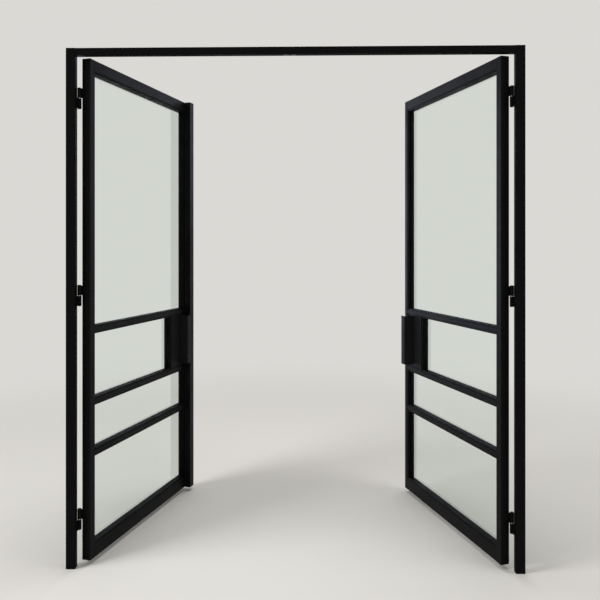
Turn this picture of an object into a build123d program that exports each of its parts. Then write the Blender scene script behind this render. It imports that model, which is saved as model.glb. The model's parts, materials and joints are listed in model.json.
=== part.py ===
from build123d import *
import os

os.makedirs("parts", exist_ok=True)

# A pair of steel framed glass doors in their slim tube frame, standing open.
# Millimetres. X runs to the right, Y away from the side that the pulls are on, Z up.
# The origin is in the middle of the opening, on the floor, at half the depth of the frame.
# Each leaf is drawn closed, with x from its hinge edge, y = 0 on its back face and
# -leaf_depth on its front face, and is then turned open about its hinge line.

# Fixed frame
opening_width = 2050.0
overall_height = 2440.0
jamb_face = 44.0
head_face = 35.0
frame_depth = 32.0
frame_wall = 2.5
frame_corner = 3.0
end_plate = 3.0
fixing_hole = 8.0
fixing_end = 395.0
fixing_rows = 4
head_fixing_pitch = 1000.0

# Leaves and the gaps round them when they are shut
leaf_depth = 44.0
leaf_wall = 2.0
leaf_corner = 2.0
hinge_gap = 12.0
meeting_gap = 4.0
floor_gap = 24.0
head_gap = 4.0
stile_face = 35.0
top_rail_face = 54.0
bottom_rail_face = 64.0
bar_face = 20.0
low_bar = 525.5
middle_bar = 770.0
high_bar = 1113.0
stile_cap = 2.0

# How far each leaf stands open, in degrees from shut
left_open_angle = 74.5
right_open_angle = 72.2

# Glazing
glass_thickness = 6.0
glass_edge_gap = 3.0
tape_thickness = 1.0
stop_depth = 7.0
bead_face = 9.5
bead_setback = 4.0
bead_bevel = 1.2
block_length = 80.0

# Weld-on barrel hinges
barrel_radius = 9.5
pin_radius = 5.0
pin_seat = 0.02
pin_play = 0.06
pivot_offset = 10.5
wing_depth = 12.0
hinge_length = 101.0
hinge_play = 0.2
low_hinge = 218.0
middle_hinge = 1278.0
high_hinge_drop = 188.0
barrel_end_round = 4.0
barrel_end_wall = 5.0
pin_end_gap = 0.8
washer_thickness = 3.0
washer_radius = 8.5

# Lock box, between the meeting stile and an upright bar, set back behind its beads
lock_width = 160.0
lock_setback = 8.0
sheet = 2.0
cover_play = 0.3
lug_size = 14.0
cover_screw_radius = 2.0
cover_screw_head = 4.0
cover_screw_length = 12.0
screw_fit = 0.05

# Pull, a plate folded to a channel that is open towards the meeting edge
pull_setback = 102.0
pull_projection = 61.0
pull_lip = 42.0
pull_foot = 25.0
pull_plate = 4.0
pull_bend = 6.0
pull_gap_below = 22.0
pull_gap_above = 11.0
pull_screw_radius = 2.5
pull_screw_head = 4.6
pull_screw_head_height = 2.6
pull_screw_end = 25.0
pull_screw_count = 4
pull_nut_radius = 4.6
pull_nut_height = 4.0

# Overlapping cover tube on the front of the left leaf
astragal_width = 50.0
astragal_depth = 34.0
astragal_overhang = 12.0
astragal_corner = 3.0
seal_thickness = 2.0
seal_play = 0.3

# Spring latch in the right leaf and its strike in the left one
latch_radius = 8.0
latch_edge = 1.0
latch_bevel_land = 3.0
latch_bevel_angle = 36.0
latch_reach = 9.0
latch_length = 34.0
latch_play = 0.1
latch_body_radius = 11.5
latch_body_length = 78.0
latch_shoulder_radius = 9.6
latch_shoulder = 4.0
latch_shoulder_inset = 12.0
plate_thickness = 1.5
plate_width = 26.0
plate_height = 72.0
plate_screw_pitch = 52.0
strike_play = 0.6
spring_wire = 1.2
spring_radius = 5.2
spring_turns = 7

# Flush bolt that holds the left leaf at the head
bolt_radius = 6.0
bolt_length = 230.0
bolt_drop = 0.5
bolt_travel = 16.0
bolt_play = 0.08
bolt_hole_play = 0.6
guide_height = 12.0
guide_play = 0.3
lug_width = 7.0
lug_height = 14.0
lug_rise = 30.0
slot_play = 0.5
keeper_thickness = 2.0
keeper_length = 60.0
keeper_width = 24.0
keeper_screw_pitch = 42.0

# Drawing aids: how far a cut runs past a face, and a tube's least inner corner
cut_over = 1.0
least_corner = 0.4

# Sizes that follow
half_opening = opening_width / 2
frame_back = frame_depth / 2
leaf_width = (opening_width - 2 * hinge_gap - meeting_gap) / 2
leaf_bottom = floor_gap
soffit = overall_height - head_face
leaf_top = soffit - head_gap
fixing_pitch = (overall_height - 2 * fixing_end) / (fixing_rows - 1)
bar_heights = (low_bar, middle_bar, high_bar)
hinge_heights = (low_hinge, middle_hinge, leaf_top - high_hinge_drop)
pivot_x = -hinge_gap / 2
knuckle_length = (hinge_length - washer_thickness - hinge_play) / 2
glass_back = stop_depth + tape_thickness
glass_front = glass_back + glass_thickness
bead_back = glass_front + tape_thickness
bead_front = leaf_depth - bead_setback
lead_inner = leaf_width - stile_face
lock_left = lead_inner - lock_width
lock_front = lock_setback - leaf_depth
lock_bottom = middle_bar + bar_face / 2
lock_top = high_bar - bar_face / 2
pull_bottom = lock_bottom + pull_gap_below
pull_height = lock_top - pull_gap_above - pull_bottom
pull_screw_pitch = (pull_height - 2 * pull_screw_end) / (pull_screw_count - 1)
latch_height = (lock_bottom + lock_top) / 2
latch_y = lock_front / 2
bolt_x = leaf_width - stile_face / 2
middle_y = -leaf_depth / 2


def block(x0, x1, y0, y1, z0, z1):
    """A box between two corners."""
    return Pos((x0 + x1) / 2, (y0 + y1) / 2, (z0 + z1) / 2) * Box(x1 - x0, y1 - y0, z1 - z0)


def rod(radius, length, x, y, z):
    """An upright cylinder that stands on z."""
    return Pos(x, y, z + length / 2) * Cylinder(radius, length)


def rod_x(radius, x0, x1, y, z):
    """A cylinder that lies along X."""
    return Pos((x0 + x1) / 2, y, z) * Rot(0, 90, 0) * Cylinder(radius, x1 - x0)


def rod_y(radius, y0, y1, x, z):
    """A cylinder that lies along Y."""
    return Pos(x, (y0 + y1) / 2, z) * Rot(90, 0, 0) * Cylinder(radius, y1 - y0)


def cone_y(small, large, y0, y1, x, z):
    """A countersunk head along Y, small at y0 and large at y1."""
    return Pos(x, (y0 + y1) / 2, z) * Rot(-90, 0, 0) * Cone(small, large, y1 - y0)


def cone_x(small, large, x0, x1, y, z):
    """A countersunk head along X, small at x0 and large at x1."""
    return Pos((x0 + x1) / 2, y, z) * Rot(0, 90, 0) * Cone(small, large, x1 - x0)


def tube(width, depth, length, wall, corner):
    """A rectangular steel tube along Z, centred on its section, from z = 0 up."""
    inner_corner = max(corner - wall, least_corner)
    section = RectangleRounded(width, depth, corner)
    section -= RectangleRounded(width - 2 * wall, depth - 2 * wall, inner_corner)
    return extrude(section, length)


def upright_tube(x0, x1, y0, y1, z0, z1, wall, corner):
    """A tube standing between two corners."""
    body = tube(x1 - x0, y1 - y0, z1 - z0, wall, corner)
    return Pos((x0 + x1) / 2, (y0 + y1) / 2, z0) * body


def level_tube(x0, x1, y0, y1, z0, z1, wall, corner):
    """A tube lying along X between two corners."""
    body = tube(z1 - z0, y1 - y0, x1 - x0, wall, corner)
    return Pos(x0, (y0 + y1) / 2, (z0 + z1) / 2) * Rot(0, 90, 0) * body


def end_cap(x0, x1, y0, y1, z0, thickness, corner):
    """A flat plate with a tube's outline."""
    outline = RectangleRounded(x1 - x0, y1 - y0, corner)
    return Pos((x0 + x1) / 2, (y0 + y1) / 2, z0) * extrude(outline, thickness)


def knuckle(side, z0, pin_bore, closed_above):
    """Half of a barrel hinge, round the leaf's hinge line, with its welded wing.

    side is 1 for the half on the leaf and -1 for the half on the jamb.
    """
    barrel = Cylinder(barrel_radius, knuckle_length)
    far_face = barrel.faces().sort_by(Axis.Z)[-1 if closed_above else 0]
    barrel = fillet(far_face.edges(), min(barrel_end_round, 0.6 * barrel_radius))
    barrel = Pos(pivot_x, pivot_offset, z0 + knuckle_length / 2) * barrel
    wing_x0 = min(pivot_x, pivot_x + side * hinge_gap / 2)
    wing_low = z0 if closed_above else z0 + barrel_end_round
    wing_high = z0 + knuckle_length - (barrel_end_round if closed_above else 0)
    wing = block(wing_x0, wing_x0 + hinge_gap / 2, -wing_depth, pivot_offset, wing_low, wing_high)
    bore_z = z0 if closed_above else z0 + barrel_end_wall
    bore = rod(pin_bore, knuckle_length - barrel_end_wall, pivot_x, pivot_offset, bore_z)
    return barrel + wing - bore


def hinge_set():
    """Knuckles, pins and washers of one leaf's three hinges, in the closed leaf's place."""
    jamb_half = []
    leaf_half = []
    pins = []
    washers = []
    for height in hinge_heights:
        low = height - hinge_length / 2
        seat = low + knuckle_length
        jamb_half.append(knuckle(-1, low, pin_radius + pin_seat, False))
        high = seat + washer_thickness + hinge_play
        leaf_half.append(knuckle(1, high, pin_radius + pin_play, True))
        pin_top = high + knuckle_length - barrel_end_wall - pin_end_gap
        pin_low = low + barrel_end_wall
        pins.append(rod(pin_radius, pin_top - pin_low, pivot_x, pivot_offset, pin_low))
        ring = Cylinder(washer_radius, washer_thickness)
        ring -= Cylinder(pin_radius + pin_play, washer_thickness)
        washers.append(Pos(pivot_x, pivot_offset, seat + washer_thickness / 2) * ring)
    return jamb_half, leaf_half, pins, washers


def bevelled_strip(x0, x1, y0, y1, z0, z1, edge_axis, inner_point):
    """A glazing bead with the front edge that faces the glass bevelled."""
    strip = block(x0, x1, y0, y1, z0, z1)
    edges = strip.edges().filter_by(edge_axis)
    near = edges.sort_by(lambda e: (e.center() - Vector(*inner_point)).length)[0]
    return chamfer(near, min(bead_bevel, 0.4 * bead_face))


def glazing(x0, x1, z0, z1):
    """Pane, stops, beads, tape and setting blocks that fill one opening of a leaf."""
    xm = (x0 + x1) / 2
    zm = (z0 + z1) / 2
    stops = []
    beads = []
    for low, high in ((z0, z0 + bead_face), (z1 - bead_face, z1)):
        stops.append(block(x0, x1, -stop_depth, 0, low, high))
        inner = (xm, -bead_front, high if low == z0 else low)
        beads.append(bevelled_strip(x0, x1, -bead_front, -bead_back, low, high, Axis.X, inner))
    for low, high in ((x0, x0 + bead_face), (x1 - bead_face, x1)):
        z_low = z0 + bead_face
        z_high = z1 - bead_face
        stops.append(block(low, high, -stop_depth, 0, z_low, z_high))
        inner = (high if low == x0 else low, -bead_front, zm)
        beads.append(bevelled_strip(low, high, -bead_front, -bead_back, z_low, z_high, Axis.Z, inner))
    edge = glass_edge_gap
    pane = block(x0 + edge, x1 - edge, -glass_front, -glass_back, z0 + edge, z1 - edge)
    tapes = []
    for y_low in (-bead_back, -glass_back):
        ring = block(x0 + edge, x1 - edge, y_low, y_low + tape_thickness, z0 + edge, z1 - edge)
        lap = bead_face
        ring -= block(x0 + lap, x1 - lap, y_low, y_low + tape_thickness, z0 + lap, z1 - lap)
        tapes.append(ring)
    blocks = []
    for x in (x0 + (x1 - x0) / 4, x1 - (x1 - x0) / 4):
        half = block_length / 2
        blocks.append(block(x - half, x + half, -glass_front, -glass_back, z0, z0 + edge))
    return pane, stops, beads, tapes, blocks


def lock_beads():
    """The beads that frame the lock box's front face."""
    xm = (lock_left + lead_inner) / 2
    beads = []
    for low, high in ((lock_bottom, lock_bottom + bead_face), (lock_top - bead_face, lock_top)):
        inner = (xm, -bead_front, high if low == lock_bottom else low)
        beads.append(bevelled_strip(lock_left, lead_inner, -bead_front, lock_front, low, high,
                                    Axis.X, inner))
    z0 = lock_bottom + bead_face
    z1 = lock_top - bead_face
    for low, high in ((lock_left, lock_left + bead_face), (lead_inner - bead_face, lead_inner)):
        inner = (high if low == lock_left else low, -bead_front, latch_height)
        beads.append(bevelled_strip(low, high, -bead_front, lock_front, z0, z1, Axis.Z, inner))
    return beads


def lock_box(latch):
    """Folded steel case and screwed back cover between the two middle bars."""
    case = block(lock_left, lead_inner, lock_front, 0, lock_bottom, lock_top)
    hollow = block(lock_left + sheet, lead_inner - sheet, lock_front + sheet, 0,
                   lock_bottom + sheet, lock_top - sheet)
    case -= hollow
    centres = []
    for x in (lock_left + sheet + lug_size / 2, lead_inner - sheet - lug_size / 2):
        for z in (lock_bottom + sheet + lug_size / 2, lock_top - sheet - lug_size / 2):
            centres.append((x, z))
    half = lug_size / 2
    for x, z in centres:
        case += block(x - half, x + half, lock_front + sheet, -sheet, z - half, z + half)
    gap = sheet + cover_play
    cover = block(lock_left + gap, lead_inner - gap, -sheet, 0, lock_bottom + gap, lock_top - gap)
    screws = []
    for x, z in centres:
        shank_radius = cover_screw_radius + screw_fit
        case -= rod_y(shank_radius, -cover_screw_length - cut_over, 0, x, z)
        cover -= cone_y(shank_radius, cover_screw_head + screw_fit, -sheet, 0, x, z)
        shank = rod_y(cover_screw_radius, -cover_screw_length, -sheet, x, z)
        screws.append(shank + cone_y(cover_screw_radius, cover_screw_head, -sheet, 0, x, z))
    if latch:
        case -= rod_x(latch_body_radius + latch_play, lead_inner - sheet, lead_inner, latch_y, latch_height)
    return case, cover, screws


def pull_section():
    """The pull's folded section, seen from above."""
    web = pull_plate
    width = max(pull_lip, pull_foot)
    sketch = Pos(width / 2, -pull_projection / 2) * Rectangle(width, pull_projection)
    inner_width = width - web
    hollow = Pos(web + inner_width / 2, -pull_projection / 2)
    sketch -= hollow * Rectangle(inner_width, pull_projection - 2 * web)
    if pull_foot < width:
        spare = width - pull_foot
        sketch -= Pos(pull_foot + spare / 2, -web / 2) * Rectangle(spare, web)
    if pull_lip < width:
        spare = width - pull_lip
        sketch -= Pos(pull_lip + spare / 2, -pull_projection + web / 2) * Rectangle(spare, web)
    bends = [(0, -pull_projection), (0, 0)]
    outer = [v for v in sketch.vertices() if any(abs(v.X - x) + abs(v.Y - y) < 0.01 for x, y in bends)]
    sketch = fillet(outer, pull_bend)
    folds = [(web, -pull_projection + web), (web, -web)]
    inner = [v for v in sketch.vertices() if any(abs(v.X - x) + abs(v.Y - y) < 0.01 for x, y in folds)]
    return fillet(inner, pull_bend - web)


def pull_with_fasteners(case):
    """The pull on the lock box, its screws and nuts, and the drilled case."""
    x = leaf_width - pull_setback
    pull = Pos(x, lock_front, pull_bottom) * extrude(pull_section(), pull_height)
    screw_x = x + pull_foot - pull_foot / 3
    fasteners = []
    for step in range(pull_screw_count):
        z = pull_bottom + pull_screw_end + step * pull_screw_pitch
        foot_face = lock_front - pull_plate
        sheet_face = lock_front + sheet
        hole = rod_y(pull_screw_radius + screw_fit, foot_face - cut_over, sheet_face + cut_over,
                     screw_x, z)
        pull -= hole
        case -= hole
        nut_end = sheet_face + pull_nut_height
        shank = rod_y(pull_screw_radius, foot_face, nut_end + cut_over, screw_x, z)
        head = rod_y(pull_screw_head, foot_face - pull_screw_head_height, foot_face, screw_x, z)
        head = chamfer(head.faces().sort_by(Axis.Y)[0].edges(), pull_screw_head_height / 2)
        fasteners.append(shank + head)
        nut = extrude(RegularPolygon(pull_nut_radius, 6), pull_nut_height)
        nut -= Cylinder(pull_screw_radius + screw_fit, 4 * pull_nut_height)
        fasteners.append(Pos(screw_x, nut_end, z) * Rot(90, 0, 0) * nut)
    return pull, fasteners, case


def edge_plate(x0, hole_radius):
    """A screwed plate on a leaf's meeting edge, round the latch, and its screws."""
    x1 = x0 + plate_thickness
    half = plate_width / 2
    plate = block(x0, x1, latch_y - half, latch_y + half,
                  latch_height - plate_height / 2, latch_height + plate_height / 2)
    plate -= rod_x(hole_radius, x0 - cut_over, x1 + cut_over, latch_y, latch_height)
    screws = []
    for z in (latch_height - plate_screw_pitch / 2, latch_height + plate_screw_pitch / 2):
        shank_radius = cover_screw_radius + screw_fit
        plate -= cone_x(shank_radius, cover_screw_head + screw_fit, x0, x1, latch_y, z)
        shank = rod_x(cover_screw_radius, x0 - cover_screw_length, x0, latch_y, z)
        screws.append(shank + cone_x(cover_screw_radius, cover_screw_head, x0, x1, latch_y, z))
    return plate, screws


def latch_parts():
    """Latch body, sprung bolt and spring, along X at the lock box's mid height."""
    y, z = latch_y, latch_height
    face = leaf_width + plate_thickness
    start = leaf_width - latch_body_length
    body = rod_x(latch_body_radius, start, leaf_width, y, z)
    shoulder_end = leaf_width - latch_shoulder_inset
    cavity_start = start + sheet
    body -= rod_x(latch_shoulder_radius + latch_play, cavity_start, shoulder_end, y, z)
    body -= rod_x(latch_radius + latch_play, shoulder_end, leaf_width + cut_over, y, z)
    tip = face + latch_reach
    tail = tip - latch_length
    nose = rod_x(latch_radius, tail, tip, y, z)
    nose = chamfer(nose.faces().sort_by(Axis.X)[-1].edges(), latch_edge)
    shoulder_start = shoulder_end - latch_shoulder
    bolt = nose + rod_x(latch_shoulder_radius, shoulder_start, shoulder_end - latch_play, y, z)
    span = 4 * latch_radius
    bevel = Pos(tip, y + latch_bevel_land, z) * Rot(0, 0, -latch_bevel_angle)
    bolt -= bevel * Pos(span / 2, 0, 0) * Box(span, span, span)
    spring_length = min(tail, shoulder_start) - cavity_start
    coil_height = spring_length - spring_wire
    path = Helix(coil_height / spring_turns, coil_height, spring_radius)
    wire = Plane(origin=path @ 0, z_dir=path % 0) * Rectangle(spring_wire, spring_wire)
    coil = sweep(wire, path, is_frenet=True)
    spring = Pos(cavity_start + spring_wire / 2, y, z) * Rot(0, 90, 0) * coil
    return body, bolt, spring


def flush_bolt():
    """Sliding rod in the left leaf's meeting stile, with its thumb lug, and two guides."""
    top = leaf_top - bolt_drop
    low = top - bolt_length
    rod_body = rod(bolt_radius, bolt_length, bolt_x, middle_y, low)
    rod_body = fillet(rod_body.faces().sort_by(Axis.Z)[-1].edges(), bolt_radius / 4)
    lug_low = low + lug_rise
    half = lug_width / 2
    lug_end = leaf_width - slot_play
    rod_body += block(bolt_x, lug_end, middle_y - half, middle_y + half, lug_low, lug_low + lug_height)
    guides = []
    half_x = stile_face / 2 - leaf_wall - guide_play
    half_y = leaf_depth / 2 - leaf_wall - guide_play
    for z in (low + guide_height / 4, leaf_top - stile_cap - guide_height):
        guide = block(bolt_x - half_x, bolt_x + half_x, middle_y - half_y, middle_y + half_y,
                      z, z + guide_height)
        guides.append(guide - rod(bolt_radius + bolt_play, 3 * guide_height, bolt_x, middle_y,
                                  z - guide_height))
    slot = block(bolt_x, leaf_width + cut_over, middle_y - half - slot_play, middle_y + half + slot_play,
                 lug_low - slot_play, lug_low + lug_height + bolt_travel + slot_play)
    return rod_body, guides, slot


def leaf(active):
    """All pieces of one closed leaf, by name. The active one has the latch."""
    y0, y1 = -leaf_depth, 0
    pieces = {}
    z0 = leaf_bottom + stile_cap
    z1 = leaf_top - stile_cap
    hinge_stile = upright_tube(0, stile_face, y0, y1, z0, z1, leaf_wall, leaf_corner)
    meeting_stile = upright_tube(lead_inner, leaf_width, y0, y1, z0, z1, leaf_wall, leaf_corner)
    caps = []
    for x in (0, lead_inner):
        for z in (leaf_bottom, z1):
            caps.append(end_cap(x, x + stile_face, y0, y1, z, stile_cap, leaf_corner))
    rail_low = leaf_bottom + bottom_rail_face
    rail_high = leaf_top - top_rail_face
    pieces["top_rail"] = [level_tube(stile_face, lead_inner, y0, y1, rail_high, leaf_top,
                                     leaf_wall, leaf_corner)]
    pieces["bottom_rail"] = [level_tube(stile_face, lead_inner, y0, y1, leaf_bottom, rail_low,
                                        leaf_wall, leaf_corner)]
    half = bar_face / 2
    bars = [level_tube(stile_face, lead_inner, y0, y1, z - half, z + half, leaf_wall, leaf_corner)
            for z in bar_heights]
    bars.append(upright_tube(lock_left - bar_face, lock_left, y0, y1, lock_bottom, lock_top,
                             leaf_wall, leaf_corner))
    pieces["glazing_bars"] = bars
    edges = [rail_low]
    for z in bar_heights:
        edges += [z - half, z + half]
    edges.append(rail_high)
    names = ("bottom_pane", "band_pane", "lock_pane", "top_pane")
    stops, beads, tapes, blocks = [], [], [], []
    for index, name in enumerate(names):
        right = lock_left - bar_face if name == "lock_pane" else lead_inner
        opening = glazing(stile_face, right, edges[2 * index], edges[2 * index + 1])
        pieces[name] = [opening[0]]
        stops += opening[1]
        beads += opening[2]
        tapes += opening[3]
        blocks += opening[4]
    pieces["glass_stops"] = stops
    pieces["glazing_beads"] = beads + lock_beads()
    pieces["glazing_tape"] = tapes
    pieces["setting_blocks"] = blocks
    case, cover, cover_screws = lock_box(active)
    pull, fasteners, case = pull_with_fasteners(case)
    pieces["lock_case"] = [case]
    pieces["lock_cover"] = [cover]
    pieces["cover_screws"] = cover_screws
    pieces["pull"] = [pull]
    pieces["pull_fasteners"] = fasteners
    edge_screw_cut = [rod_x(cover_screw_radius + screw_fit, leaf_width - leaf_wall - cut_over,
                            leaf_width + cut_over, latch_y, latch_height + step)
                      for step in (-plate_screw_pitch / 2, plate_screw_pitch / 2)]
    for cut in edge_screw_cut:
        meeting_stile -= cut
    if active:
        body, bolt, spring = latch_parts()
        pieces["latch_body"] = [body]
        pieces["latch_bolt"] = [bolt]
        pieces["latch_spring"] = [spring]
        plate, screws = edge_plate(leaf_width, latch_radius + latch_play)
        pieces["latch_plate"] = [plate] + screws
        meeting_stile -= rod_x(latch_body_radius + latch_play, lead_inner - cut_over,
                               leaf_width + cut_over, latch_y, latch_height)
    else:
        hole = latch_radius + strike_play
        plate, screws = edge_plate(leaf_width, hole)
        pieces["strike_plate"] = [plate] + screws
        meeting_stile -= rod_x(hole, leaf_width - leaf_wall - cut_over, leaf_width + cut_over,
                               latch_y, latch_height)
        rod_body, guides, slot = flush_bolt()
        pieces["flush_bolt"] = [rod_body]
        pieces["flush_bolt_guides"] = guides
        meeting_stile -= slot
        caps[3] -= rod(bolt_radius + bolt_hole_play, 4 * stile_cap, bolt_x, middle_y, leaf_top - 2 * stile_cap)
        inner = leaf_width + astragal_overhang - astragal_width
        outer = leaf_width + astragal_overhang
        back = -leaf_depth - seal_thickness
        front = back - astragal_depth
        pieces["astragal"] = [upright_tube(inner, outer, front, back, z0, z1, leaf_wall, astragal_corner)]
        pieces["astragal_caps"] = [end_cap(inner, outer, front, back, z, stile_cap, astragal_corner)
                                   for z in (leaf_bottom, z1)]
        seal = block(inner + astragal_corner, outer - astragal_corner, back, -leaf_depth, leaf_bottom, leaf_top)
        seal -= block(leaf_width, outer, -leaf_depth - seal_play, -leaf_depth, leaf_bottom, leaf_top)
        pieces["astragal_seal"] = [seal]
    pieces["hinge_stile"] = [hinge_stile]
    pieces["meeting_stile"] = [meeting_stile]
    pieces["stile_caps"] = caps
    pieces["leaf_knuckles"] = hinge_set()[1]
    return pieces


def in_frame(solid, side, opened):
    """Moves a closed leaf's solid to its place in the frame, turned open, on its side."""
    placed = Pos(hinge_gap - half_opening, frame_back, 0) * solid
    hinge_line = Axis((hinge_gap / 2 - half_opening, frame_back + pivot_offset, 0), (0, 0, 1))
    if opened:
        placed = placed.rotate(hinge_line, opened)
    return placed if side == "left" else placed.mirror(Plane.YZ)


def frame_parts():
    """The fixed frame: jambs, head, end plates, keeper and the jambs' hinge halves."""
    y0, y1 = -frame_back, frame_back
    outer = half_opening + jamb_face
    jamb = upright_tube(-outer, -half_opening, y0, y1, end_plate, overall_height - end_plate,
                        frame_wall, frame_corner)
    for row in range(fixing_rows):
        z = fixing_end + row * fixing_pitch
        jamb -= rod_x(fixing_hole / 2, -outer - cut_over, cut_over - half_opening, 0, z)
    head = level_tube(-half_opening, half_opening, y0, y1, soffit, overall_height,
                      frame_wall, frame_corner)
    for x in (-head_fixing_pitch / 2, head_fixing_pitch / 2):
        head -= rod(fixing_hole / 2, head_face + 2 * cut_over, x, 0, soffit - cut_over)
    plates = []
    for z in (0, overall_height - end_plate):
        plate = end_cap(-outer, -half_opening, y0, y1, z, end_plate, frame_corner)
        plates += [plate, plate.mirror(Plane.YZ)]
    keeper_x = hinge_gap - half_opening + bolt_x
    keeper_y = frame_back + middle_y
    hole = rod(bolt_radius + bolt_hole_play, head_face, keeper_x, keeper_y,
               soffit - head_face + frame_wall + cut_over)
    head -= hole
    half = keeper_width / 2
    keeper = block(keeper_x - keeper_length / 2, keeper_x + keeper_length / 2,
                   max(keeper_y - half, y0 + frame_corner), keeper_y + half,
                   soffit - keeper_thickness, soffit)
    keeper -= hole
    screws = []
    for x in (keeper_x - keeper_screw_pitch / 2, keeper_x + keeper_screw_pitch / 2):
        shank_radius = cover_screw_radius + screw_fit
        cone_z = soffit - keeper_thickness / 2
        sink = Pos(x, keeper_y, cone_z) * Cone(cover_screw_head + screw_fit, shank_radius, keeper_thickness)
        keeper -= sink
        head -= rod(shank_radius, frame_wall + 2 * cut_over, x, keeper_y, soffit - cut_over)
        screw = Pos(x, keeper_y, cone_z) * Cone(cover_screw_head, cover_screw_radius, keeper_thickness)
        screws.append(screw + rod(cover_screw_radius, cover_screw_length, x, keeper_y, soffit))
    return {
        "left_jamb": [jamb],
        "right_jamb": [jamb.mirror(Plane.YZ)],
        "head": [head],
        "jamb_end_plates": plates,
        "bolt_keeper": [keeper],
        "keeper_screws": screws,
    }


def save(name, solids):
    """Writes one node."""
    shape = solids[0] if len(solids) == 1 else Compound(solids)
    export_step(shape, "parts/" + name + ".step")


for name, solids in frame_parts().items():
    save(name, solids)

jamb_half, leaf_half, pins, washers = hinge_set()
for name, solids in (("jamb_knuckles", jamb_half), ("hinge_pins", pins), ("hinge_washers", washers)):
    save(name, [in_frame(solid, side, 0) for side in ("left", "right") for solid in solids])

own_names = ("strike_plate", "flush_bolt", "flush_bolt_guides", "astragal", "astragal_caps",
             "astragal_seal", "latch_body", "latch_bolt", "latch_spring", "latch_plate")
for side, active, opened in (("left", False, left_open_angle), ("right", True, right_open_angle)):
    for name, solids in leaf(active).items():
        node = name if name in own_names else side + "_" + name
        save(node, [in_frame(solid, side, opened) for solid in solids])
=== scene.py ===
# A pair of steel and glass doors that stand open in their slim tube frame.
# The CAD frame carries the shapes; this script gives them their finishes and small fittings.
import json
import math

import bpy
from mathutils import Matrix, Vector

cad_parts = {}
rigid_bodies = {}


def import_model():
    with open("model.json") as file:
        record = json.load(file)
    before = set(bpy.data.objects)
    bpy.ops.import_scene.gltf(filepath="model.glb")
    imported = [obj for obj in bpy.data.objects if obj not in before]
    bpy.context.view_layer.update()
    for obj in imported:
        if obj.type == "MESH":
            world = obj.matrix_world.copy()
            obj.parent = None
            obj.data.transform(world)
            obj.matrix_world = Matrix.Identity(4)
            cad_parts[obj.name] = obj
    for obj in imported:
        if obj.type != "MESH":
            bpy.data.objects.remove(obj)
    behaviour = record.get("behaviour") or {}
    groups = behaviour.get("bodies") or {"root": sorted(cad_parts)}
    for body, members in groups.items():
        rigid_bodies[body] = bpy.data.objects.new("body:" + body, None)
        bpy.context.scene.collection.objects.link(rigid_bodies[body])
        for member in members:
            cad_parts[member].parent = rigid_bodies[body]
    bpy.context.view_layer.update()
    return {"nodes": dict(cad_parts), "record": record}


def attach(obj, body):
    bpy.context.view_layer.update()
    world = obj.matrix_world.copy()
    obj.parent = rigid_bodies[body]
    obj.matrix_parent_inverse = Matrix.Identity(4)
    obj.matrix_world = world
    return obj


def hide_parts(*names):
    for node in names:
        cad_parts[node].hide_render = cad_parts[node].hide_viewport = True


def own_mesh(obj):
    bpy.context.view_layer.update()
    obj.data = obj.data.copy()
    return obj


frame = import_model()
bpy.ops.object.select_all(action="DESELECT")

# Places taken over from the CAD part, in metres. A leaf is described shut: along from its hinge
# edge, deep as 0 on its back face and negative towards its front, and up from the floor.
HALF_OPENING = 1.025
FRAME_BACK = 0.016
HINGE_GAP = 0.012
PIVOT_BACK = 0.0105
OPEN_ANGLES = {"left": math.radians(74.5), "right": math.radians(72.2)}
HINGE_HEIGHTS = (0.218, 1.278, 2.213)
HINGE_LENGTH = 0.101
KNUCKLE_LENGTH = 0.0489
KNUCKLE_ROUND = 0.004
WING_DEPTH = 0.012
WING_LENGTH = KNUCKLE_LENGTH - KNUCKLE_ROUND
BEAD_FRONT = 0.040
BEAD_MIDDLE = 0.0044
OPENINGS = (
    (0.035, 0.976, 0.088, 0.5155),
    (0.035, 0.976, 0.5355, 0.760),
    (0.035, 0.796, 0.780, 1.103),
    (0.816, 0.976, 0.780, 1.103),
    (0.035, 0.976, 1.123, 2.347),
)
COVER_SCREWS = [(along, up) for along in (0.825, 0.967) for up in (0.789, 1.094)]
PULL_FOOT = 0.040
CASE_INSIDE = 0.034
PULL_SCREW_ALONG = 0.92567
PULL_SCREW_HEIGHTS = (0.827, 0.907, 0.987, 1.067)
LATCH_DEEP = -0.018
LATCH_HEIGHT = 0.9415
SPRING_START = 0.935
SPRING_LENGTH = 0.0525
SPRING_WIRE = 0.0012
SPRING_RADIUS = 0.0052
SPRING_TURNS = 7
KEEPER = (-0.0195, -0.006, 2.403)
KEEPER_SCREW_PITCH = 0.042

# Small trim that only this script has, in metres. Bead screws keep clear of an opening's corners
# and are spread between them at about one pitch.
BEAD_SCREW_PITCH = 0.25
LEVEL_CORNER = 0.045
UPRIGHT_CORNER = 0.060
WELD_RADIUS = 0.0019
WELD_RIPPLE = 0.0022
SCREW_EDGE = 0.00012
NUT_EDGE = 0.0003
SHARP_ANGLE = math.radians(40)
SMOOTH_ANGLE = math.radians(32)

# Colours and measures of the studio.
DUST = "#242322"
BLOOM = "#1d1d1e"
BACKDROP = "#dbd9d5"
FLOOR = "#dbd9d5"
FLOOR_SIZE = 120.0
FADE_START = 1.0
FADE_END = 5.5
SKY_LIGHT = 0.62
SKY_SEEN = 1.0


def linear(hex_colour):
    """An sRGB hex colour as linear red, green, blue and alpha."""
    channels = [int(hex_colour[i:i + 2], 16) / 255 for i in (1, 3, 5)]
    channels = [c / 12.92 if c <= 0.04045 else ((c + 0.055) / 1.055) ** 2.4 for c in channels]
    return (*channels, 1.0)


def add(tree, kind, settings=None, links=None):
    """Adds one node, with its settings and the sockets that feed it."""
    node = tree.nodes.new(kind)
    for name, value in (settings or {}).items():
        if isinstance(name, str) and hasattr(node, name):
            setattr(node, name, value)
        else:
            node.inputs[name].default_value = value
    for name, source in (links or {}).items():
        tree.links.new(source, node.inputs[name])
    return node


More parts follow.
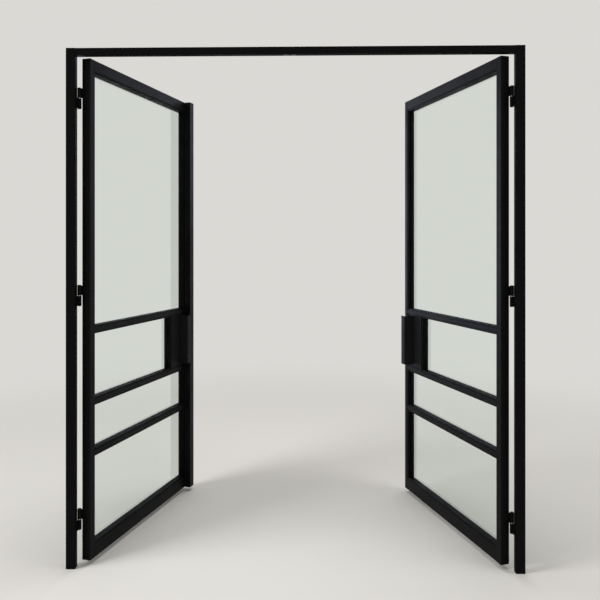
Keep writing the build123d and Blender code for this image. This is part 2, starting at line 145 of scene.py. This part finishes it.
def new_material(name):
    """An empty material, its node tree, its shader and its object coordinates."""
    material = bpy.data.materials.new(name)
    material.use_nodes = True
    tree = material.node_tree
    tree.nodes.clear()
    output = add(tree, "ShaderNodeOutputMaterial")
    shader = add(tree, "ShaderNodeBsdfPrincipled")
    tree.links.new(shader.outputs["BSDF"], output.inputs["Surface"])
    place = add(tree, "ShaderNodeTexCoord").outputs["Object"]
    return material, tree, shader, place


def powder_coat(name, colour, roughness, grain_mm, sheen):
    """Powder coated steel: sprayed dry and baked, so a satin film with a fine orange peel.

    The film is a little thicker and glossier in patches, and dust lies on faces that look up.
    """
    material, tree, shader, place = new_material(name)
    patches = add(tree, "ShaderNodeTexNoise", {"Scale": 7.0, "Detail": 4.0, "Roughness": 0.6},
                  {"Vector": place})
    peel = add(tree, "ShaderNodeTexNoise", {"Scale": 1000.0 / grain_mm, "Detail": 2.0},
               {"Vector": place})
    specks = add(tree, "ShaderNodeTexNoise", {"Scale": 260.0, "Detail": 6.0, "Roughness": 0.75},
                 {"Vector": place})
    normal = add(tree, "ShaderNodeNewGeometry").outputs["Normal"]
    up = add(tree, "ShaderNodeSeparateXYZ", links={"Vector": normal}).outputs["Z"]
    lying = add(tree, "ShaderNodeMapRange", {"From Min": 0.6, "From Max": 1.0, "To Max": 0.3},
                {"Value": up})
    dust = add(tree, "ShaderNodeMapRange", {"From Min": 0.42, "From Max": 0.68},
               {"Value": specks.outputs["Fac"]})
    dust_here = add(tree, "ShaderNodeMath", {"operation": "MULTIPLY"},
                    {0: lying.outputs["Result"], 1: dust.outputs["Result"]})
    colour_mix = add(tree, "ShaderNodeMix",
                     {"data_type": "RGBA", 6: linear(colour), 7: linear(DUST)},
                     {0: dust_here.outputs["Value"]})
    gloss = add(tree, "ShaderNodeMapRange",
                {"From Min": 0.3, "From Max": 0.7, "To Min": roughness - 0.05,
                 "To Max": roughness + 0.07},
                {"Value": patches.outputs["Fac"]})
    dull = add(tree, "ShaderNodeMath", {"operation": "MULTIPLY_ADD", 1: 0.25},
               {0: dust_here.outputs["Value"], 2: gloss.outputs["Result"]})
    relief = add(tree, "ShaderNodeBump", {"Strength": 0.12, "Distance": 0.0002},
                 {"Height": peel.outputs["Fac"]})
    tree.links.new(colour_mix.outputs[2], shader.inputs["Base Color"])
    tree.links.new(dull.outputs["Value"], shader.inputs["Roughness"])
    tree.links.new(relief.outputs["Normal"], shader.inputs["Normal"])
    shader.inputs["IOR"].default_value = 1.5
    shader.inputs["Specular IOR Level"].default_value = sheen
    return material


def float_glass(name):
    """Clear float glass: flat on both faces, with the faint green of its iron."""
    material, tree, shader, place = new_material(name)
    shader.inputs["Base Color"].default_value = linear("#f4fbf8")
    shader.inputs["Transmission Weight"].default_value = 1.0
    shader.inputs["IOR"].default_value = 1.52
    smears = add(tree, "ShaderNodeTexNoise", {"Scale": 3.0, "Detail": 5.0, "Roughness": 0.7},
                 {"Vector": place})
    haze = add(tree, "ShaderNodeMapRange", {"From Min": 0.5, "From Max": 0.8, "To Max": 0.02},
               {"Value": smears.outputs["Fac"]})
    tree.links.new(haze.outputs["Result"], shader.inputs["Roughness"])
    return material


def rubber(name, colour):
    """Extruded EPDM strip: matt black with a faint bloom."""
    material, tree, shader, place = new_material(name)
    bloom = add(tree, "ShaderNodeTexNoise", {"Scale": 90.0, "Detail": 5.0}, {"Vector": place})
    mix = add(tree, "ShaderNodeMix", {"data_type": "RGBA", 6: linear(colour), 7: linear(BLOOM)},
              {0: bloom.outputs["Fac"]})
    relief = add(tree, "ShaderNodeBump", {"Strength": 0.2, "Distance": 0.0002},
                 {"Height": bloom.outputs["Fac"]})
    tree.links.new(mix.outputs[2], shader.inputs["Base Color"])
    tree.links.new(relief.outputs["Normal"], shader.inputs["Normal"])
    shader.inputs["Roughness"].default_value = 0.75
    return material


def worked_steel(name, colour, roughness, line_mm):
    """Steel with the fine lines of turning, rolling or drawing, which spread the highlights."""
    material, tree, shader, place = new_material(name)
    stretched = add(tree, "ShaderNodeMapping", {"Scale": (40.0, 40.0, 1000.0 / line_mm)},
                    {"Vector": place})
    lines = add(tree, "ShaderNodeTexNoise", {"Scale": 1.0, "Detail": 3.0},
                {"Vector": stretched.outputs["Vector"]})
    gloss = add(tree, "ShaderNodeMapRange",
                {"To Min": roughness - 0.08, "To Max": roughness + 0.1},
                {"Value": lines.outputs["Fac"]})
    relief = add(tree, "ShaderNodeBump", {"Strength": 0.15, "Distance": 0.0001},
                 {"Height": lines.outputs["Fac"]})
    shader.inputs["Base Color"].default_value = linear(colour)
    shader.inputs["Metallic"].default_value = 1.0
    tree.links.new(gloss.outputs["Result"], shader.inputs["Roughness"])
    tree.links.new(relief.outputs["Normal"], shader.inputs["Normal"])
    return material


def nylon(name, colour):
    """Moulded glass-filled nylon: dark grey with a dry, slightly pebbled skin."""
    material, tree, shader, place = new_material(name)
    pebbles = add(tree, "ShaderNodeTexNoise", {"Scale": 700.0, "Detail": 2.0}, {"Vector": place})
    relief = add(tree, "ShaderNodeBump", {"Strength": 0.25, "Distance": 0.0002},
                 {"Height": pebbles.outputs["Fac"]})
    shader.inputs["Base Color"].default_value = linear(colour)
    shader.inputs["Roughness"].default_value = 0.55
    tree.links.new(relief.outputs["Normal"], shader.inputs["Normal"])
    return material


finishes = {
    "frame_paint": powder_coat("matt_powder_coat_frame", "#080809", 0.64, 1.4, 0.07),
    "leaf_paint": powder_coat("matt_powder_coat_leaf", "#0a0a0b", 0.48, 1.4, 0.075),
    "bead_paint": powder_coat("matt_powder_coat_bead", "#08080a", 0.5, 1.2, 0.07),
    # The lock's coat is mixed lighter than the leaf's black: a painted reflection that lifts the
    # lock face where the pull shades it.
    "lock_paint": powder_coat("powder_coat_lock_painted_reflection", "#1f1f21", 0.46, 1.3, 0.05),
    "glass": float_glass("clear_float_glass"),
    "seal_rubber": rubber("extruded_rubber", "#0b0b0c"),
    "block_plastic": nylon("moulded_nylon", "#26262a"),
    "pin_steel": worked_steel("ground_bright_steel", "#b9b7b3", 0.26, 0.4),
    "plate_steel": worked_steel("blackened_plate_steel", "#2b2c2f", 0.42, 0.6),
    "screw_steel": worked_steel("zinc_plated_steel", "#84868a", 0.4, 0.5),
    "spring_steel": worked_steel("drawn_spring_wire", "#7b7b7d", 0.34, 0.3),
}

for part in frame["record"]["subparts"]:
    node = frame["nodes"][part["node"]]
    node.data.materials.clear()
    node.data.materials.append(finishes[part["material_slot"]])


def work_on(piece, kind, test, operator, **settings):
    """Runs one edit mode operator on the points, edges or faces of a piece that pass a test."""
    mesh = piece.data
    for group in (mesh.vertices, mesh.edges, mesh.polygons):
        group.foreach_set("select", [False] * len(group))
    for item in {"VERT": mesh.vertices, "EDGE": mesh.edges, "FACE": mesh.polygons}[kind]:
        item.select = test(item)
    bpy.context.view_layer.objects.active = piece
    select_mode = (kind == "VERT", kind == "EDGE", kind == "FACE")
    bpy.context.tool_settings.mesh_select_mode = select_mode
    bpy.ops.object.mode_set(mode="EDIT")
    operator(**settings)
    bpy.ops.object.mode_set(mode="OBJECT")


def apply_modifier(piece, kind, **settings):
    """Gives a piece one modifier and applies it."""
    modifier = piece.modifiers.new(kind.lower(), kind)
    for name, value in settings.items():
        setattr(modifier, name, value)
    bpy.context.view_layer.objects.active = piece
    bpy.ops.object.modifier_apply(modifier=modifier.name)


def ease_edges(piece, width):
    """Rounds the sharp edges of a turned piece and shades it smooth between them."""
    apply_modifier(piece, "BEVEL", width=width, segments=2, limit_method="ANGLE",
                   angle_limit=SHARP_ANGLE)
    bpy.ops.object.shade_smooth_by_angle(angle=SMOOTH_ANGLE)


def faces_up(face):
    """Whether a face looks up."""
    return face.normal.z > 0.9


def faces_down(face):
    """Whether a face looks down."""
    return face.normal.z < -0.9


def faces_up_or_down(face):
    """Whether a face lies level, whichever way it looks."""
    return abs(face.normal.z) > 0.9


def hexagon_cut(piece, radius, top, depth):
    """Cuts a six-sided socket down into a piece from its top."""
    bpy.ops.mesh.primitive_cylinder_add(vertices=6, radius=radius, depth=2 * depth,
                                        location=(0, 0, top))
    cutter = bpy.context.object
    apply_modifier(piece, "BOOLEAN", operation="DIFFERENCE", object=cutter, solver="EXACT")
    bpy.data.objects.remove(cutter)


def socket_screw(head, head_height, neck, neck_length, socket, raised):
    """A socket screw whose head faces up, with its seat at z = 0 if raised, or else its top."""
    bottom = 0.0 if raised else -head_height
    bpy.ops.mesh.primitive_cylinder_add(vertices=32, radius=head, depth=head_height,
                                        location=(0, 0, bottom + head_height / 2))
    screw = bpy.context.object
    bpy.ops.object.transform_apply(location=True, rotation=False, scale=False)
    if raised:
        work_on(screw, "FACE", faces_up, bpy.ops.mesh.bevel, offset=0.4 * head_height, segments=3)
        work_on(screw, "FACE", faces_down, bpy.ops.mesh.inset, thickness=head - neck)
    else:
        work_on(screw, "FACE", faces_down, bpy.ops.transform.resize,
                value=(neck / head, neck / head, 1.0))
    neck_area = 1.1 * math.pi * neck ** 2
    work_on(screw, "FACE", lambda face: faces_down(face) and face.area < neck_area,
            bpy.ops.mesh.extrude_region_move,
            TRANSFORM_OT_translate={"value": (0, 0, -neck_length)})
    hexagon_cut(screw, socket, bottom + head_height, 0.55 * head_height)
    ease_edges(screw, SCREW_EDGE)
    return screw


def hexagon_nut(radius, height, bore):
    """A hexagon nut with eased corners, its seat at z = 0."""
    bpy.ops.mesh.primitive_cylinder_add(vertices=6, radius=radius, depth=height,
                                        location=(0, 0, height / 2))
    nut = bpy.context.object
    bpy.ops.object.transform_apply(location=True, rotation=False, scale=False)
    work_on(nut, "FACE", faces_up_or_down, bpy.ops.mesh.inset,
            thickness=radius * math.cos(math.radians(30)) - bore, use_individual=True)
    ring_area = 1.1 * 3 * math.sqrt(3) / 2 * (bore / math.cos(math.radians(30))) ** 2
    work_on(nut, "FACE", lambda face: faces_up_or_down(face) and len(face.vertices) == 6
            and face.area < ring_area, bpy.ops.mesh.bridge_edge_loops)
    ease_edges(nut, NUT_EDGE)
    return nut


def weld_bead(length):
    """A weld laid in short steps along Z: a round ridge that swells at each step."""
    bpy.ops.mesh.primitive_cylinder_add(vertices=8, radius=WELD_RADIUS, depth=length)
    bead = bpy.context.object
    points = bead.data.vertices
    steps = 2 * round(length / WELD_RIPPLE)

    def runs_along(edge):
        start, end = (points[index].co.z for index in edge.vertices)
        return abs(start - end) > WELD_RIPPLE

    work_on(bead, "EDGE", runs_along, bpy.ops.mesh.subdivide, number_cuts=steps - 1)
    work_on(bead, "VERT", lambda point: round((point.co.z / length + 0.5) * steps) % 2 == 0,
            bpy.ops.transform.resize, value=(0.78, 0.78, 1.0))
    apply_modifier(bead, "SUBSURF", levels=1, render_levels=1)
    bpy.ops.object.shade_smooth_by_angle(angle=math.radians(60))
    return bead


def coil_spring(radius, wire, length, turns):
    """A compression spring of round wire that stands on z = 0."""
    bpy.ops.mesh.primitive_circle_add(vertices=10, radius=wire / 2, location=(radius, 0, wire / 2),
                                      rotation=(math.radians(90), 0, 0))
    spring = bpy.context.object
    bpy.ops.object.transform_apply()
    apply_modifier(spring, "SCREW", angle=2 * math.pi, screw_offset=(length - wire) / turns,
                   iterations=turns, steps=24, render_steps=24)
    work_on(spring, "FACE", lambda face: True, bpy.ops.mesh.fill_holes, sides=0)
    work_on(spring, "FACE", lambda face: True, bpy.ops.mesh.normals_make_consistent, inside=False)
    bpy.ops.object.shade_smooth_by_angle(angle=math.radians(50))
    return spring


def repeat(original, name, places, body, material_slot, stands_for=()):
    """Copies a piece to each place, joins the copies, and lets them ride on one body."""
    bpy.ops.object.select_all(action="DESELECT")
    for place in places:
        mesh = original.data.copy()
        mesh.transform(place)
        if place.determinant() < 0:
            mesh.flip_normals()
        copy = bpy.data.objects.new(name, mesh)
        bpy.context.scene.collection.objects.link(copy)
        copy.select_set(True)
        bpy.context.view_layer.objects.active = copy
    if len(places) > 1:
        bpy.ops.object.join()
    piece = bpy.context.object
    piece.name = name
    piece.data.materials.clear()
    piece.data.materials.append(finishes[material_slot])
    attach(piece, body)
    if stands_for:
        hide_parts(*stands_for)
    bpy.ops.object.select_all(action="DESELECT")
    return piece


def at(*place):
    """A shift to a place."""
    return Matrix.Translation(place)


def turned(degrees, axis):
    """A turn about one axis."""
    return Matrix.Rotation(math.radians(degrees), 4, axis)


def spread(low, high, count):
    """So many numbers, evenly from low to high, or their middle."""
    if count == 1:
        return [(low + high) / 2]
    return [low + (high - low) * step / (count - 1) for step in range(count)]


def bead_fixings():
    """Where the bead screws of one leaf sit, along and up."""
    fixings = []
    for near, far, bottom, top in OPENINGS:
        across = spread(near + LEVEL_CORNER, far - LEVEL_CORNER,
                        max(2, round((far - near) / BEAD_SCREW_PITCH) + 1))
        fixings += [(along, up) for along in across
                    for up in (bottom + BEAD_MIDDLE, top - BEAD_MIDDLE)]
        upright = spread(bottom + UPRIGHT_CORNER, top - UPRIGHT_CORNER,
                         max(1, round((top - bottom) / BEAD_SCREW_PITCH)))
        fixings += [(along, up) for along in (near + BEAD_MIDDLE, far - BEAD_MIDDLE)
                    for up in upright]
    return fixings


ON_SIDE = {"left": Matrix.Identity(4), "right": Matrix.Diagonal((-1.0, 1.0, 1.0, 1.0))}
HINGE_LINE = at(HINGE_GAP / 2 - HALF_OPENING, FRAME_BACK + PIVOT_BACK, 0)
FACING_FRONT = turned(90, "X")
FACING_BACK = turned(-90, "X")
FACING_DOWN = turned(180, "X")
LEAVES = {
    side: ON_SIDE[side] @ HINGE_LINE @ Matrix.Rotation(opened, 4, "Z")
    @ at(HINGE_GAP / 2, -PIVOT_BACK, 0)
    for side, opened in OPEN_ANGLES.items()
}

cover_screw = socket_screw(head=0.004, head_height=0.002, neck=0.002, neck_length=0.010,
                           socket=0.0016, raised=False)
pull_screw = socket_screw(head=0.0046, head_height=0.0026, neck=0.0025, neck_length=0.011,
                          socket=0.0021, raised=True)
pull_nut = hexagon_nut(radius=0.0046, height=0.004, bore=0.0026)
bead_screw = socket_screw(head=0.0024, head_height=0.0006, neck=0.0013, neck_length=0.006,
                          socket=0.0009, raised=True)
long_weld = weld_bead(length=0.044)
short_weld = weld_bead(length=0.011)

frame_welds = []
frame_end_welds = []
for side, leaf in LEAVES.items():
    body = f"{side}_leaf"

    covers = [leaf @ at(along, 0, up) @ FACING_BACK for along, up in COVER_SCREWS]
    repeat(cover_screw, f"{side}_cover_socket_screws", covers, body, "screw_steel",
           [f"{side}_cover_screws"])

    heads = [leaf @ at(PULL_SCREW_ALONG, -PULL_FOOT, up) @ FACING_FRONT
             for up in PULL_SCREW_HEIGHTS]
    repeat(pull_screw, f"{side}_pull_socket_screws", heads, body, "screw_steel",
           [f"{side}_pull_fasteners"])
    nuts = [leaf @ at(PULL_SCREW_ALONG, -CASE_INSIDE, up) @ FACING_BACK
            for up in PULL_SCREW_HEIGHTS]
    repeat(pull_nut, f"{side}_pull_nuts", nuts, body, "screw_steel")

    screws = [leaf @ at(along, -BEAD_FRONT, up) @ FACING_FRONT for along, up in bead_fixings()]
    repeat(bead_screw, f"{side}_bead_screws", screws, body, "bead_paint")

    jamb = ON_SIDE[side] @ at(-HALF_OPENING, FRAME_BACK - WING_DEPTH, 0)
    leaf_welds = []
    leaf_end_welds = []
    for height in HINGE_HEIGHTS:
        foot = height - HINGE_LENGTH / 2 + KNUCKLE_ROUND
        crown = height + HINGE_LENGTH / 2 - KNUCKLE_ROUND
        leaf_welds.append(leaf @ at(0, -WING_DEPTH, crown - WING_LENGTH / 2))
        leaf_end_welds.append(leaf @ at(0, -WING_DEPTH / 2, crown) @ FACING_FRONT)
        frame_welds.append(jamb @ at(0, 0, foot + WING_LENGTH / 2))
        frame_end_welds.append(jamb @ at(0, WING_DEPTH / 2, foot) @ FACING_FRONT)
    repeat(long_weld, f"{side}_leaf_hinge_welds", leaf_welds, body, "leaf_paint")
    repeat(short_weld, f"{side}_leaf_hinge_end_welds", leaf_end_welds, body, "leaf_paint")

repeat(long_weld, "frame_hinge_welds", frame_welds, "frame", "frame_paint")
repeat(short_weld, "frame_hinge_end_welds", frame_end_welds, "frame", "frame_paint")

keeper_x, keeper_y, keeper_z = KEEPER
sunk = [at(keeper_x + step, keeper_y, keeper_z) @ FACING_DOWN
        for step in (-KEEPER_SCREW_PITCH / 2, KEEPER_SCREW_PITCH / 2)]
repeat(cover_screw, "keeper_socket_screws", sunk, "frame", "screw_steel", ["keeper_screws"])

# The latch spring stands behind the bolt and gets a mesh of its own.
spring_seat = LEAVES["right"] @ at(SPRING_START, LATCH_DEEP, LATCH_HEIGHT) @ turned(90, "Y")
latch_coil = coil_spring(SPRING_RADIUS, SPRING_WIRE, SPRING_LENGTH, SPRING_TURNS)
wound = repeat(latch_coil, "latch_coil_spring", [spring_seat], "right_leaf", "spring_steel",
               ["latch_spring"])
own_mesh(wound)

for original in (cover_screw, pull_screw, pull_nut, bead_screw, long_weld, short_weld, latch_coil):
    bpy.data.objects.remove(original)


# Floor, backdrop and light. Far out the floor takes on the backdrop's tone, so no horizon shows.
bpy.ops.mesh.primitive_plane_add(size=FLOOR_SIZE, location=(0, 0, 0))
floor = bpy.context.object
floor.name = "floor"
floor_material, floor_tree, floor_shader, floor_place = new_material("pale_floor")
floor_shader.inputs["Base Color"].default_value = linear(FLOOR)
floor_shader.inputs["Roughness"].default_value = 0.75
floor_shader.inputs["Specular IOR Level"].default_value = 0.2
reach = add(floor_tree, "ShaderNodeVectorMath", {"operation": "LENGTH"}, {0: floor_place})
fade = add(floor_tree, "ShaderNodeMapRange",
           {"From Min": FADE_START, "From Max": FADE_END, "interpolation_type": "SMOOTHSTEP"},
           {"Value": reach.outputs["Value"]})
glow = add(floor_tree, "ShaderNodeEmission", {"Color": linear(BACKDROP), "Strength": 1.0})
blend = add(floor_tree, "ShaderNodeMixShader",
            links={0: fade.outputs["Result"], 1: floor_shader.outputs["BSDF"],
                   2: glow.outputs["Emission"]})
floor_tree.links.new(blend.outputs["Shader"],
                     floor_tree.nodes["Material Output"].inputs["Surface"])
floor.data.materials.append(floor_material)

world = bpy.data.worlds.new("studio")
bpy.context.scene.world = world
world.use_nodes = True
sky = world.node_tree
sky.nodes.clear()
paths = add(sky, "ShaderNodeLightPath").outputs
looked_at = add(sky, "ShaderNodeMath", {"operation": "MAXIMUM"},
                {0: paths["Is Camera Ray"], 1: paths["Is Transmission Ray"]})
seen = add(sky, "ShaderNodeMath", {"operation": "MAXIMUM"},
           {0: looked_at.outputs["Value"], 1: paths["Is Glossy Ray"]})
strength = add(sky, "ShaderNodeMix", {"data_type": "FLOAT", 2: SKY_LIGHT, 3: SKY_SEEN},
               {0: seen.outputs["Value"]})
background = add(sky, "ShaderNodeBackground", {"Color": linear(BACKDROP)},
                 {"Strength": strength.outputs[0]})
add(sky, "ShaderNodeOutputWorld", links={"Surface": background.outputs["Background"]})


def softbox(name, place, aim, width, height, power, colour="#ffffff"):
    """A rectangular lamp that points at a place."""
    data = bpy.data.lights.new(name, "AREA")
    data.shape = "RECTANGLE"
    data.size = width
    data.size_y = height
    data.energy = power
    data.color = linear(colour)[:3]
    lamp = bpy.data.objects.new(name, data)
    lamp.location = place
    lamp.rotation_euler = (Vector(aim) - Vector(place)).to_track_quat("-Z", "Y").to_euler()
    lamp.visible_transmission = False
    lamp.visible_glossy = False
    bpy.context.scene.collection.objects.link(lamp)
    return lamp


softbox("key", (-3.3, -1.3, 4.4), (0, 0.4, 0.6), width=1.6, height=1.6, power=130.0)
softbox("fill", (4.4, -1.2, 3.4), (0, 0.4, 0.8), width=2.8, height=2.2, power=60.0)
softbox("top", (0.3, 1.6, 5.4), (0, 0.5, 0.0), width=2.4, height=2.4, power=90.0)

# Softboxes behind the doors are seen only as a soft sheen on the steel. The panes and the floor
# don't receive them, and they add nothing to the level of the light.
steel = bpy.data.collections.new("steel_and_fittings")
for thing in bpy.data.objects:
    is_steel = thing.type == "MESH" and thing is not floor
    if is_steel and finishes["glass"] not in list(thing.data.materials):
        steel.objects.link(thing)
for name, place, aim, width, height, power, tint in (
    ("sheen_left", (-3.0, 4.6, 2.0), (-0.6, 0.5, 1.2), 3.4, 3.0, 95.0, "#cfdfff"),
    ("sheen_right", (3.0, 4.6, 2.0), (0.6, 0.5, 1.2), 3.4, 3.0, 4.0, "#f2f4ff"),
    ("sheen_back", (1.4, 7.5, 3.6), (0.6, 0.5, 0.5), 4.0, 2.6, 140.0, "#c4d6ff"),
):
    sheen = softbox(name, place, aim, width, height, power, tint)
    sheen.visible_diffuse = False
    sheen.visible_glossy = True
    sheen.light_linking.receiver_collection = steel

# Camera: at standing eye height, held level and turned a little to the left.
camera_data = bpy.data.cameras.new("camera")
camera_data.sensor_fit = "HORIZONTAL"
camera_data.sensor_width = 36.0
camera_data.lens = 38.33
camera_data.shift_y = -0.0885
camera = bpy.data.objects.new("camera", camera_data)
camera.location = (0.0899, -2.9821, 1.5085)
camera.rotation_euler = (math.radians(90.0), 0.0, math.radians(1.188))
bpy.context.scene.collection.objects.link(camera)
bpy.context.scene.camera = camera
bpy.context.scene.view_settings.view_transform = "Standard"
